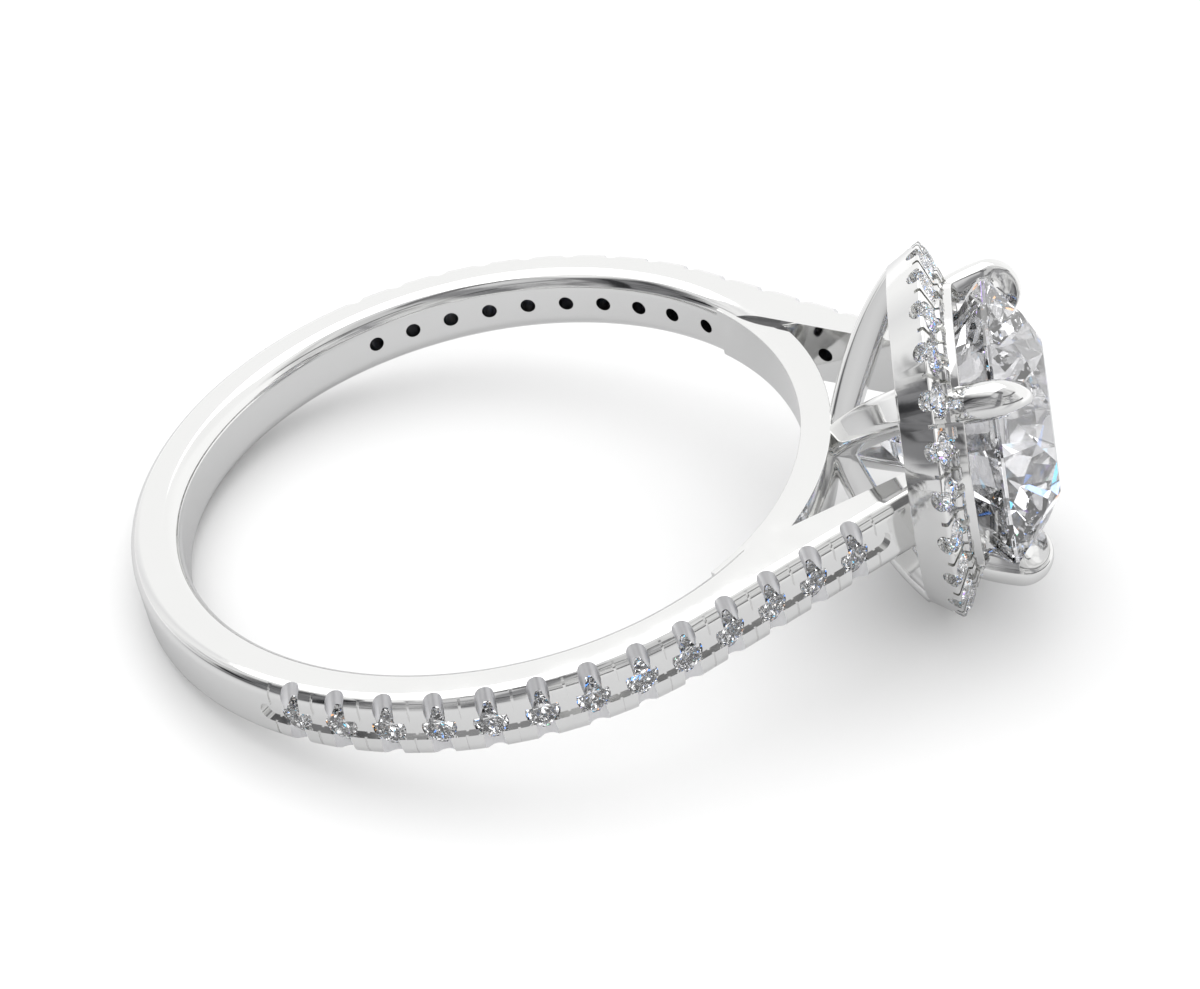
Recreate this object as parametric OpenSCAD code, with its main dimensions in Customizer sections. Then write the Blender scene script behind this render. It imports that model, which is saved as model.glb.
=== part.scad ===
// Halo ring: a cast and soldered white metal mounting that holds one large
// round stone, a halo of small stones round it and a row of stones on each arm.
// It is drawn as it lies on its side on a flat surface. Inside the modules the
// ring stands in its own frame: +X runs from the centre of the finger hole to
// the large stone, Z is the axis of the finger hole, and all sizes are in mm.

/* [Band] */
// Diameter of the finger hole
finger_d = 16.5; // [15:0.1:20]
// Width of the band along the finger
band_w = 1.8; // [1.7:0.05:2.2]
// Thickness of the band
band_t = 1.35; // [1.3:0.05:1.7]
// Rounding of the band's outer edges
outer_round = 0.38; // [0.2:0.02:0.45]
// Comfort rounding of the band's inner edges
comfort_round = 0.49; // [0.2:0.02:0.55]

/* [Arms and bridge] */
// How far inside the halo's edge the arms meet its back
arm_inset = 0.56; // [0.4:0.02:0.9]
// Thickness of the arms where they meet the halo
arm_end_t = 0.86; // [0.7:0.02:1]
// Slope of the arms' inner face, added thickness for each mm along the arm
arm_slope = 0.14; // [0.1:0.01:0.16]
// Width of the bridge under the basket
bridge_w = 1.5; // [1.3:0.05:1.7]
// Thickness of the bridge
bridge_t = 0.8; // [0.6:0.05:1]
// Half of the angle that the bridge spans between the arms
bridge_turn = 43.5; // [40:0.5:46]

/* [Stones on the arms] */
// Number of stones on each side
side_count = 13; // [8:1:13]
// Diameter of one stone
side_stone_d = 1.1; // [0.9:0.02:1.14]
// Distance from one stone to the next
side_pitch = 1.29; // [1.27:0.01:1.35]
// Distance from the last stone to the halo's back along the arm
last_stone_gap = 1.8; // [1.6:0.05:2.2]
// How far the tables of the stones lie below the metal
side_sink = 0.06; // [0.02:0.01:0.1]
// Radius of the round cuts across the rails at each stone
scallop_r = 0.28; // [0.2:0.01:0.32]
// Depth of those cuts below the crest of the band
scallop_depth = 0.43; // [0.35:0.01:0.5]
// Diameter of the hole drilled through behind each stone
azure_d = 0.42; // [0.3:0.02:0.5]
// Width of the bright cut channel that links the seats
channel_w = 0.45; // [0.3:0.05:0.6]
// Depth of that channel
channel_depth = 0.12; // [0.06:0.01:0.16]
// Width of the thin line cut across the rails between two stones
line_w = 0.1; // [0.06:0.01:0.14]
// Depth of that line
line_depth = 0.07; // [0.04:0.01:0.1]

/* [Basket] */
// Height of the halo's back above the bridge
basket_h = 1.91; // [1.8:0.05:2.4]
// Width of the four straps at the bridge
strap_foot_w = 0.85; // [0.7:0.05:0.95]
// Width of the four straps at the halo
strap_top_w = 1.05; // [0.85:0.05:1.2]
// Distance of a strap's outer foot from the middle of the ring
strap_foot_r = 0.72; // [0.6:0.02:0.85]

/* [Halo] */
// Outer diameter of the halo at its front edge
halo_d = 9.78; // [9.6:0.02:10.2]
// Outer diameter of the halo at its back edge
halo_back_d = 8.68; // [8.5:0.02:9]
// Height of the halo's outer wall
halo_wall_h = 0.88; // [0.8:0.02:1.1]
// Slope of the face that carries the stones, in degrees
halo_slope = 22; // [18:1:26]
// Number of stones in the halo
halo_count = 24; // [20:1:24]
// Diameter of one halo stone
halo_stone_d = 0.82; // [0.74:0.02:0.86]
// Distance from the halo's edge to the middle of its stones
halo_row = 0.46; // [0.44:0.01:0.5]
// How far the tables of those stones stand above the face
halo_proud = 0.08; // [0.02:0.01:0.1]
// Height of the small posts along the inner side of the stones
post_h = 0.1; // [0.05:0.01:0.2]
// Thickness of those posts
post_t = 0.27; // [0.15:0.01:0.3]
// Width of the groove between the posts and the collar
groove_w = 0.16; // [0.12:0.01:0.22]
// Radius of the round cuts across the halo at each stone
notch_r = 0.27; // [0.2:0.01:0.3]
// Depth of those cuts below the halo's face
notch_depth = 0.38; // [0.3:0.01:0.4]
// Width of the slots between the halo's stones
slot_w = 0.11; // [0.08:0.01:0.14]
// Depth of those slots below the halo's face
slot_depth = 0.17; // [0.1:0.01:0.2]
// Wall thickness of the collar that rings the large stone
collar_t = 0.14; // [0.12:0.01:0.2]
// Height of the collar's rim above the halo's outer edge
collar_rise = 0.7; // [0.5:0.05:0.9]

/* [Centre stone] */
// Diameter of the large stone
centre_d = 7.44; // [7:0.02:7.5]
// Height of its girdle above the halo's back
girdle_rise = 2.35; // [2.3:0.02:2.6]
// Width of its table as a share of its diameter
table_share = 0.53; // [0.5:0.01:0.6]
// Height of its crown as a share of its diameter
crown_share = 0.168; // [0.14:0.002:0.17]
// Depth of its pavilion as a share of its diameter
pavilion_share = 0.43; // [0.42:0.002:0.44]
// Thickness of its girdle as a share of its diameter
girdle_share = 0.02; // [0.01:0.005:0.03]

/* [Claws] */
// Width of a claw at its widest
claw_w = 1.06; // [0.9:0.02:1.1]
// Height of a claw's rounded outer side
claw_dome = 0.28; // [0.2:0.02:0.32]
// Radius of the bend over the girdle, along the outside of the claw
claw_bend = 0.82; // [0.78:0.01:0.9]
// How far the claws lean outward below the bend, in degrees
claw_lean = 14; // [8:1:16]
// Angle that a claw turns through up to its tip, in degrees
claw_turn = 140; // [120:5:145]

/* [Hidden] */
// Gap between every stone and its seat
seat_gap = 0.02;
// How far a cutting shape runs past what it cuts
over = 0.5;
// How far the comfort rounding bites into the finger hole, for a clean edge
bite = 0.004;
// Steps in a rounded quarter of the band's section
round_steps = 5;

finger_r = finger_d / 2;
band_r = finger_r + band_t;
bridge_r = finger_r + bridge_t;
halo_r = halo_d / 2;
halo_back_r = halo_back_d / 2;
centre_r = centre_d / 2;

// heights above the centre of the finger hole
back_h = bridge_r + basket_h;
edge_h = back_h + halo_wall_h;
rim_h = edge_h + collar_rise;
girdle_h = back_h + girdle_rise;

// the halo's face, from its outer edge to the foot of the posts
collar_r = centre_r;
collar_in_r = collar_r - collar_t;
post_in_r = collar_r + groove_w;
post_out_r = post_in_r + post_t;
foot_h = edge_h + (halo_r - post_out_r) * tan(halo_slope);
floor_t = 0.25;
lip_w = 0.15;
lip_h = 0.12;

// the arms leave the band as straight tangents that end at the halo's back
arm_end_r = halo_back_r - arm_inset;
arm_far = norm([back_h, arm_end_r]);
arm_length = sqrt(arm_far * arm_far - band_r * band_r);
arm_turn = atan2(arm_end_r, back_h) + acos(band_r / arm_far);

// proportions of the small stones
small_table = 0.56;
small_crown = 0.15;
small_pavilion = 0.43;
small_girdle = 0.03;

// the ring lies on its halo and on the lower edge of the band's back
side_reach = band_r - outer_round;
side_drop = halo_r - band_w / 2 + outer_round;
rest_tilt = atan2(side_drop, edge_h + side_reach)
          - asin(outer_round / norm([side_drop, edge_h + side_reach]));
rest_z = halo_r * cos(rest_tilt) - edge_h * sin(rest_tilt);
back_x = side_reach * cos(rest_tilt)
       + (band_w / 2 - outer_round) * sin(rest_tilt) + outer_round;
table_h = girdle_h + centre_d * (girdle_share / 2 + crown_share);
front_x = table_h * cos(rest_tilt) + centre_r * table_share * sin(rest_tilt);

// lays the ring on its side, with the middle of its outline over the origin
module at_rest() {
    translate([(back_x - front_x) / 2, 0, rest_z])
        rotate([0, -rest_tilt, 0])
            children();
}

// points of an arc in the plane
function arc(middle, r, from, to, steps) =
    [for (i = [0 : steps]) let (t = from + (to - from) * i / steps) middle + r * [cos(t), sin(t)]];

// points of a curve that starts at a, heads for b and ends at c
function bow(a, b, c, steps) =
    [for (i = [0 : steps]) let (t = i / steps) a * (1 - t) * (1 - t) + b * 2 * t * (1 - t) + c * t * t];

// a place along the stones' path: p is the distance from the point where the
// arm leaves the round band, and it is negative on the round part
function path_turn(p) = arm_turn + max(-p, 0) / band_r * 180 / PI;
function path_point(p) =
    band_r * [cos(path_turn(p)), sin(path_turn(p))] + max(p, 0) * [sin(arm_turn), -cos(arm_turn)];
function stone_place(i) = arm_length - last_stone_gap - (side_count - i) * side_pitch;

// puts children on the crest of the band, with +Z outward, Y along the band
// and X across it; side is 1 on the far side and -1 on the near side
module on_path(side, p) {
    translate([path_point(p)[0], side * path_point(p)[1], 0])
        rotate([0, 90, side * path_turn(p)])
            children();
}

// puts children on the slope of the halo, with +Z out of its face
module on_halo(turn) {
    rotate([turn, 0, 0])
        translate([edge_h + halo_row * sin(halo_slope), halo_r - halo_row * cos(halo_slope), 0])
            rotate([0, 90, halo_slope])
                children();
}

// outline of the band's outer side as radius and height, drawn inward by skin
function outer_side(skin) = let (
    r = outer_round - skin,
    x = band_r - outer_round,
    y = band_w / 2 - outer_round
) concat(
    arc([x, -y], r, -90, 0, round_steps),
    arc([x, y], r, 0, 90, round_steps)
);

// section of the band before the finger hole is cut
function band_section(skin, inner) =
    concat([[inner, -band_w / 2 + skin]], outer_side(skin), [[inner, band_w / 2 - skin]]);

// round part of the band, between the two arms
module round_band() {
    overlap = 2;
    rotate([0, 0, arm_turn - overlap])
        rotate_extrude(angle = 360 - 2 * (arm_turn - overlap), $fn = 180)
            polygon(band_section(0, finger_r - over));
}

// one straight arm from the band to the back of the halo
module arm(side) {
    start_t = arm_end_t + arm_slope * arm_length;
    reach = arm_length + halo_wall_h;
    mirror([0, side < 0 ? 1 : 0, 0])
        translate(concat(path_point(0), 0))
            rotate([0, 0, arm_turn - 90])
                intersection() {
                    rotate([90, 0, 90])
                        linear_extrude(reach)
                            translate([-band_r, 0])
                                polygon(band_section(0, band_r - start_t - over));
                    translate([0, 0, -band_w])
                        linear_extrude(2 * band_w)
                            polygon([
                                [0, over],
                                [reach, over],
                                [reach, -start_t + arm_slope * reach],
                                [0, -start_t]
                            ]);
                }
}

// bridge that closes the finger circle under the basket
module bridge() {
    rotate([0, 0, -bridge_turn])
        rotate_extrude(angle = 2 * bridge_turn, $fn = 180)
            translate([finger_r - over, -bridge_w / 2])
                square([bridge_t + over, bridge_w]);
}

// one strap of the basket, an arched bar with flat sides
module strap(turn) {
    top_h = back_h + floor_t;
    foot_h = bridge_r - bridge_t / 2;
    outer_foot = [bridge_r - 0.1 * bridge_t, strap_foot_r];
    outer_top = [back_h, halo_back_r + 0.05];
    outer_pull = outer_foot + [0.384 * (outer_top[0] - outer_foot[0]), 0.652 * (outer_top[1] - outer_foot[1])];
    inner_foot = [bridge_r + 0.22 * basket_h, 0.05];
    inner_top = [back_h + 0.1, collar_in_r - 0.05];
    inner_pull = inner_foot + [0.5 * (inner_top[0] - inner_foot[0]), 0.55 * (inner_top[1] - inner_foot[1])];
    steps = 8;
    // the sides run on straight into the tray, past its back
    end_h = top_h + over;
    end_w = strap_foot_w + (strap_top_w - strap_foot_w) * (end_h - bridge_r) / basket_h;
    outline = concat(
        [[foot_h, -strap_foot_r / 2], [foot_h, 0.6 * strap_foot_r]],
        bow(outer_foot, outer_pull, outer_top, steps),
        [[top_h, outer_top[1] - 0.1], [top_h, inner_top[1] + 0.1]],
        bow(inner_top, inner_pull, inner_foot, steps),
        [[inner_foot[0], -strap_foot_r / 2]]
    );
    rotate([turn, 0, 0])
        intersection() {
            linear_extrude(2 * strap_top_w, center = true)
                polygon(outline);
            rotate([90, 0, 0])
                linear_extrude(4 * halo_r, center = true)
                    polygon([
                        [foot_h, -strap_foot_w / 2],
                        [bridge_r, -strap_foot_w / 2],
                        [end_h, -end_w / 2],
                        [end_h, end_w / 2],
                        [bridge_r, strap_foot_w / 2],
                        [foot_h, strap_foot_w / 2]
                    ]);
        }
}

// puts children on the axis of the large stone, with +Z towards its table
module on_head() {
    rotate([90, 0, 90])
        children();
}

// the halo's tray with its posts and the collar, before any stone is seated
module halo_tray() {
    on_head()
        rotate_extrude($fn = 180)
            polygon([
                [collar_in_r - lip_w, back_h],
                [halo_back_r, back_h],
                [halo_r, edge_h],
                [post_out_r, foot_h],
                [post_out_r, foot_h + post_h],
                [post_in_r, foot_h + post_h + post_t * tan(halo_slope)],
                [post_in_r, back_h + 3 * floor_t],
                [collar_r, back_h + 3 * floor_t],
                [collar_r, rim_h],
                [collar_in_r - lip_w, rim_h]
            ]);
}

// open middle of the halo, above the lip that the arms and straps run into
module collar_bore() {
    on_head()
        translate([0, 0, back_h + lip_h])
            cylinder(h = 3 * halo_wall_h, r = collar_in_r, $fn = 180);
}

// sections of a claw from its root in the tray to its tip: height and distance
// from the middle of its outer line, direction there, width and depth
function claw_sections() = let (
    bend = [girdle_h + 0.15, centre_r - 0.26],
    root = [back_h + lip_h / 2, post_in_r - 0.08],
    foot = [edge_h + 0.3, post_in_r - 0.04],
    start = bend + claw_bend * [-sin(claw_lean), cos(claw_lean)],
    pull = start - 0.78 * [1, tan(claw_lean)],
    foot_share = [0.82, 0.9, 0.97],
    bend_share = [1, 0.95, 0.87, 0.76, 0.62, 0.48, 0.36, 0.26, 0.16]
) concat(
    [[root[0], root[1], 0, claw_w * foot_share[0], 0.45]],
    [for (i = [0 : 2]) let (
        t = i / 3,
        p = foot * (1 - t) * (1 - t) + pull * 2 * t * (1 - t) + start * t * t,
        d = (pull - foot) * (1 - t) + (start - pull) * t
    ) [p[0], p[1], atan2(d[1], d[0]), claw_w * foot_share[i], 0.6 + 0.9 * t * (1 - t)]],
    [for (i = [0 : 8]) let (
        a = claw_lean - claw_turn * i / 8
    ) [bend[0] - claw_bend * sin(a), bend[1] + claw_bend * cos(a), a,
       claw_w * bend_share[i], claw_bend - 0.06]]
);

// one claw, a bar with a rounded outer side that bends over the girdle
module claw(turn) {
    rows = claw_sections();
    n = 9;
    ring = function (s) let (dome = claw_dome * s[3] / claw_w) concat(
        [for (k = [0 : n - 3]) let (a = -90 + 180 * k / (n - 3)) [dome * (cos(a) - 1), s[3] / 2 * sin(a)]],
        [[-s[4], 0.46 * s[3]], [-s[4], -0.46 * s[3]]]
    );
    place = function (s) [for (q = ring(s)) [s[0] - q[0] * sin(s[2]), s[1] + q[0] * cos(s[2]), q[1]]];
    last = len(rows) - 1;
    rotate([turn, 0, 0])
        polyhedron(
            points = [for (s = rows) each place(s)],
            faces = concat(
                [[for (k = [0 : n - 1]) k]],
                [[for (k = [n - 1 : -1 : 0]) last * n + k]],
                [for (i = [0 : last - 1]) for (k = [0 : n - 1]) let (
                    m = (k + 1) % n
                ) [i * n + k, (i + 1) * n + k, (i + 1) * n + m, i * n + m]]
            )
        );
}

// space of the large stone and its gap, cut from the claws
module centre_seat() {
    on_head()
        translate([0, 0, girdle_h])
            rotate_extrude($fn = 90)
                polygon([
                    [0, -centre_d * (pavilion_share + girdle_share / 2) - 2 * seat_gap],
                    [centre_r + seat_gap, -centre_d * girdle_share / 2 - seat_gap],
                    [centre_r + seat_gap, centre_d * girdle_share / 2 + seat_gap],
                    [centre_r * table_share + seat_gap, centre_d * (girdle_share / 2 + crown_share) + seat_gap],
                    [0, centre_d * (girdle_share / 2 + crown_share) + seat_gap]
                ]);
}

// bored seat for a small stone whose table lies at height top, with the hole
// drilled on through the metal behind it
module seat(d, top, hole_d, hole_l) {
    belly = top - d * (small_crown + small_girdle);
    r = d / 2 + seat_gap;
    cone = d * small_pavilion;
    translate([0, 0, belly])
        cylinder(h = over + d, r = r, $fn = 32);
    translate([0, 0, belly - cone * (1 - hole_d / d)])
        cylinder(h = cone * (1 - hole_d / d), r1 = hole_d / 2 + seat_gap, r2 = r, $fn = 32);
    translate([0, 0, belly - hole_l])
        cylinder(h = hole_l, d = hole_d, $fn = 24);
}

// what is cut from each arm for its stones
module side_cuts(side) {
    first = stone_place(1);
    last = stone_place(side_count);
    run_out = 0.62 * side_pitch;
    for (i = [1 : side_count]) {
        on_path(side, stone_place(i))
            seat(side_stone_d, -side_sink, azure_d, 2 * band_t);
        on_path(side, stone_place(i))
            translate([0, 0, scallop_r - scallop_depth])
                rotate([0, 90, 0])
                    cylinder(h = band_w + over, r = scallop_r, center = true, $fn = 24);
    }
    for (i = [0 : side_count])
        on_path(side, stone_place(i + 0.5))
            rotate([90, 0, 0])
                linear_extrude(line_w, center = true)
                    difference() {
                        translate([-band_w, -outer_round])
                            square([2 * band_w, band_w]);
                        rotate(90)
                            translate([-band_r, 0])
                                polygon(band_section(line_depth, band_r - band_w));
                    }
    // the channel: round part, straight part and its two round ends
    rotate([0, 0, side > 0 ? arm_turn : -path_turn(first - run_out)])
        rotate_extrude(angle = path_turn(first - run_out) - arm_turn, $fn = 180)
            translate([band_r - channel_depth, -channel_w / 2])
                square([over, channel_w]);
    on_path(side, 0)
        translate([-channel_w / 2, side > 0 ? -last - run_out : 0, -channel_depth])
            cube([channel_w, last + run_out, over]);
    for (p = [first - run_out, last + run_out])
        on_path(side, p)
            translate([0, 0, -channel_depth])
                cylinder(h = over, d = channel_w, $fn = 24);
}

// what is cut from the halo for its stones
module halo_cuts() {
    inner = (halo_r - halo_row * cos(halo_slope) - post_in_r) / cos(halo_slope) + 0.06;
    step = 360 / halo_count;
    for (i = [0 : halo_count - 1]) {
        on_halo(180 + step * i)
            translate([0, -inner, notch_r - notch_depth])
                rotate([-90, 0, 0])
                    cylinder(h = inner + halo_row + over, r = notch_r, $fn = 24);
        on_halo(180 + step * (i + 0.5))
            translate([-slot_w / 2, -inner, -slot_depth])
                cube([slot_w, inner + halo_row + over, slot_depth + over]);
    }
}

// the bored seats of the halo's stones
module halo_seats() {
    for (i = [0 : halo_count - 1])
        on_halo(180 + 360 * i / halo_count)
            seat(halo_stone_d, halo_proud, 0.6 * azure_d, 0.6 * halo_stone_d);
}

// space of the finger
module finger_hole() {
    cylinder(h = 4 * band_w, r = finger_r, center = true, $fn = 180);
}

// comfort rounding along both inner edges of the band and the arms
module comfort_edges() {
    y = band_w / 2 - comfort_round;
    x = finger_r + comfort_round - bite;
    rounding = concat(
        [[finger_r - over, y]],
        arc([x, y], comfort_round, 180, 90, round_steps),
        [[x, band_w], [finger_r - over, band_w]]
    );
    rotate_extrude($fn = 180) {
        polygon(rounding);
        mirror([0, 1])
            polygon(rounding);
    }
}

// a round brilliant with its girdle at the origin and its table upward
module brilliant(d, table, crown, pavilion, girdle) {
    r = d / 2;
    g = d * girdle / 2;
    table_r = r * table;
    star_r = table_r + 0.45 * (r - table_r);
    star_x = star_r * cos(22.5);
    star_z = g + d * crown * (r - star_x) / (r - table_r);
    low_r = 0.24 * r;
    low_z = -g - d * pavilion * (1 - low_r * cos(22.5) / r);
    T = 0;
    S = 8;
    G = 16;
    H = 32;
    L = 48;
    culet = 56;
    eight = function (r, turn, z) [for (k = [0 : 7]) [r * cos(45 * k + turn), r * sin(45 * k + turn), z]];
    sixteen = function (z) [for (k = [0 : 15]) [r * cos(22.5 * k), r * sin(22.5 * k), z]];
    polyhedron(
        points = concat(
            eight(table_r, 0, g + d * crown),
            eight(star_r, 22.5, star_z),
            sixteen(g),
            sixteen(-g),
            eight(low_r, 22.5, low_z),
            [[0, 0, -g - d * pavilion]]
        ),
        faces = concat(
            [[for (k = [7 : -1 : 0]) T + k]],
            [for (k = [0 : 7]) let (
                n = (k + 1) % 8,
                b = (k + 7) % 8,
                g0 = 2 * k,
                g1 = 2 * k + 1,
                g2 = 2 * n
            ) each [
                [T + k, T + n, S + k],
                [T + k, S + k, G + g0, S + b],
                [S + k, G + g1, G + g0],
                [S + k, G + g2, G + g1],
                [G + g0, G + g1, H + g1, H + g0],
                [G + g1, G + g2, H + g2, H + g1],
                [L + k, H + g0, H + g1],
                [L + k, H + g1, H + g2],
                [culet, L + b, H + g0, L + k]
            ]]
        )
    );
}

// a small stone whose table lies at height top
module small_stone(d, top) {
    translate([0, 0, top - d * (small_crown + small_girdle / 2)])
        brilliant(d, small_table, small_crown, small_pavilion, small_girdle);
}

// all the soldered and cast metal
module mounting() {
    color("gainsboro")
        at_rest()
            difference() {
                union() {
                    difference() {
                        union() {
                            difference() {
                                union() {
                                    round_band();
                                    arm(1);
                                    arm(-1);
                                }
                                comfort_edges();
                            }
                            bridge();
                            halo_tray();
                            for (turn = [45 : 90 : 315]) strap(turn);
                        }
                        finger_hole();
                        side_cuts(1);
                        side_cuts(-1);
                        halo_cuts();
                        collar_bore();
                    }
                    for (turn = [45 : 90 : 315]) claw(turn);
                }
                halo_seats();
                centre_seat();
            }
}

module centre_stone() {
    color("aliceblue")
        at_rest()
            on_head()
                translate([0, 0, girdle_h])
                    brilliant(centre_d, table_share, crown_share, pavilion_share, girdle_share);
}

module halo_stones() {
    color("aliceblue")
        at_rest()
            for (i = [0 : halo_count - 1])
                on_halo(180 + 360 * i / halo_count)
                    small_stone(halo_stone_d, halo_proud);
}

module side_stone(side, i) {
    color("aliceblue")
        at_rest()
            on_path(side, stone_place(i))
                small_stone(side_stone_d, -side_sink);
}

mounting();
centre_stone();
halo_stones();
for (i = [1 : side_count]) {
    side_stone(-1, i);
    side_stone(1, i);
}
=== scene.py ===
# %% [markdown]
# # A halo ring lying on its side
# A finger ring of white gold carries one large round diamond, a halo of
# 24 small ones round it and a row of 13 on each arm. It lies on a pale floor
# and leans on the edge of its halo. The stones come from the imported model. The
# metal is built once more from the same sizes, with a finer skin, and then
# everything gets its finish, its light and its camera.

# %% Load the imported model
import math

import bmesh
import bpy
from mathutils import Matrix, Vector


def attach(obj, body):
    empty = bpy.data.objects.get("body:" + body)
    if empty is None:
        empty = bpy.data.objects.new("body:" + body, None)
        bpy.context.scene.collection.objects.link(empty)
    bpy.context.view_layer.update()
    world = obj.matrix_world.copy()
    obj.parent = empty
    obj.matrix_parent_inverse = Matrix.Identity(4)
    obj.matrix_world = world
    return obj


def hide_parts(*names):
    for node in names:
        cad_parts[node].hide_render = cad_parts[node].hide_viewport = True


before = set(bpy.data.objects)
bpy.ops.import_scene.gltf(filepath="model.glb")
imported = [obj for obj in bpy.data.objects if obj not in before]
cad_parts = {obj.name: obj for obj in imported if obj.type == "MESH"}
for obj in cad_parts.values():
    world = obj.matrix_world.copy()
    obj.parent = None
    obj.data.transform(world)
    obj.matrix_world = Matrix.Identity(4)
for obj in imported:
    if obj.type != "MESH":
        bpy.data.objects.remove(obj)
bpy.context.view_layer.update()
scene = bpy.context.scene
MM = 0.001
print("nodes:", len(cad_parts))

# %% [markdown]
# ## Helpers for finishes and objects
# Colours are written as they look on a screen, as hex values, while a shader
# wants them linear. One function turns one into the other. A second one adds
# a shader node, sets its sockets and links what comes into it. A third puts a
# new object in the scene.

# %% Helpers for colours, shader nodes and objects


def linear(hex_colour):
    """A colour such as "#E8E8E6" as the four linear numbers a shader takes."""
    parts = [int(hex_colour[k : k + 2], 16) / 255 for k in (1, 3, 5)]
    return [p / 12.92 if p <= 0.04045 else ((p + 0.055) / 1.055) ** 2.4 for p in parts] + [1.0]


def add(tree, kind, inputs={}, stops=(), **settings):
    """Adds a node: inputs holds values to set and sockets to link, and stops fill a ramp."""
    made = tree.nodes.new(kind)
    for name, value in settings.items():
        setattr(made, name, value)
    for k, (position, hex_colour) in enumerate(stops):
        marks = made.color_ramp.elements
        mark = marks[k] if k < 2 else marks.new(position)
        mark.position, mark.color = position, linear(hex_colour)
    for name, value in inputs.items():
        if isinstance(value, bpy.types.NodeSocket):
            tree.links.new(value, made.inputs[name])
        else:
            made.inputs[name].default_value = value
    return made


def blank_material(name):
    """A new material without nodes, and its empty tree."""
    material = bpy.data.materials.new(name)
    material.use_nodes = True
    material.node_tree.nodes.clear()
    return material, material.node_tree


def new_object(name, data):
    """An object with that data, in the scene."""
    made = bpy.data.objects.new(name, data)
    scene.collection.objects.link(made)
    return made


# %% [markdown]
# ## The camera
# The photograph was taken from in front and above, about 38 degrees over the
# table. A long lens from about 90 mm away keeps the ring from looking
# distorted. The camera is placed at the point that was worked out
# from the ring's outline, aims at one point in the ring and is turned a
# fraction of a degree about its own axis.

# %% Place the camera
eye = Vector((2.7365, -71.5724, 57.4650)) * MM
aim = Vector((0.2758, -2.0796, 4.0)) * MM
roll = math.radians(0.183)

camera = new_object("camera", bpy.data.cameras.new("camera"))
camera.data.sensor_width = 36
camera.data.lens = 103.214
camera.data.clip_start = 0.005
camera.data.clip_end = 10
camera.matrix_world = (
    Matrix.Translation(eye)
    @ (aim - eye).to_track_quat("-Z", "Y").to_matrix().to_4x4()
    @ Matrix.Rotation(roll, 4, "Z")
)
scene.camera = camera
print("camera to aim point in mm:", round((aim - eye).length / MM, 1))

# %% [markdown]
# ## The studio
# A polished ring is lit by what it mirrors, more than by lamps. The studio is
# a white tent, which lights the floor evenly, and one broad lamp overhead
# that makes the soft shadow. What the metal and the stones show is built apart
# from it in the next steps, so that each can be set by itself. Light crosses a
# cut diamond many times before it leaves, so it may bounce 16 times: with the
# usual few bounces the stones turn dark.

# %% Light the tent
bounces = 16
scene.cycles.max_bounces = bounces
scene.cycles.transmission_bounces = bounces
scene.cycles.glossy_bounces = bounces
scene.view_settings.view_transform = "Standard"

world = bpy.data.worlds.new("white tent")
world.use_nodes = True
world.node_tree.nodes.clear()
tent_light = {"Color": linear("#FFFFFF"), "Strength": 1.72}
tent = add(world.node_tree, "ShaderNodeBackground", tent_light)
add(world.node_tree, "ShaderNodeOutputWorld", {"Surface": tent.outputs[0]})
scene.world = world

lamp = new_object("overhead lamp", bpy.data.lights.new("overhead lamp", "AREA"))
lamp.data.size = 0.30
lamp.data.energy = 0.285
lamp.location = (-0.10, 0.10, 0.30)
lamp.rotation_euler = (aim - lamp.location).to_track_quat("-Z", "Y").to_euler()
print("lamp:", round((aim - lamp.location).length, 2), "m from the ring")

# %% [markdown]
# ## The floor and the backdrop
# The floor is a plain white sheet. A white dome behind it, which only the
# camera sees, keeps low views plain too, as a roll of paper does in a studio.

# %% Make the floor and the backdrop
floor_half = 1.5
backdrop_r = 1.4


def plain_mesh(name, points, faces, material, seen_by):
    """A mesh object from points in metres, seen only by these kinds of ray."""
    mesh = bpy.data.meshes.new(name)
    mesh.from_pydata(points, [], faces)
    mesh.materials.append(material)
    made = new_object(name, mesh)
    for ray in ("camera", "diffuse", "glossy", "transmission", "shadow"):
        setattr(made, "visible_" + ray, ray in seen_by)
    return made


def sheet(name, z, material, seen_by):
    """A level square over the whole floor, z metres up."""
    half = floor_half
    points = [(-half, -half, z), (half, -half, z), (half, half, z), (-half, half, z)]
    return plain_mesh(name, points, [(0, 1, 2, 3)], material, seen_by)


def toward(azimuth, elevation, far):
    """A point that far away; azimuth 0 is the camera's side and 90 the stone's side."""
    a, e = math.radians(azimuth), math.radians(elevation)
    return (far * math.sin(a) * math.cos(e), -far * math.cos(a) * math.cos(e), far * math.sin(e))


def dome(name, radius, material, seen_by):
    """Half a globe over the floor, in steps of 10 degrees."""
    step, n, rows = 10, 36, 9
    points = [toward(step * k, step * j, radius) for j in range(rows) for k in range(n)]
    points.append((0, 0, radius))
    faces = [
        (n * j + k, n * j + (k + 1) % n, n * (j + 1) + (k + 1) % n, n * (j + 1) + k)
        for j in range(rows - 1)
        for k in range(n)
    ]
    last_row = n * (rows - 1)
    faces += [(last_row + k, last_row + (k + 1) % n, n * rows) for k in range(n)]
    return plain_mesh(name, points, faces, material, seen_by)


def lit(name, colour):
    """A material that shows one colour, whatever falls on it."""
    material, tree = blank_material(name)
    glow = add(tree, "ShaderNodeEmission", {"Color": linear(colour), "Strength": 1.0})
    add(tree, "ShaderNodeOutputMaterial", {"Surface": glow.outputs[0]})
    return material


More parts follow.
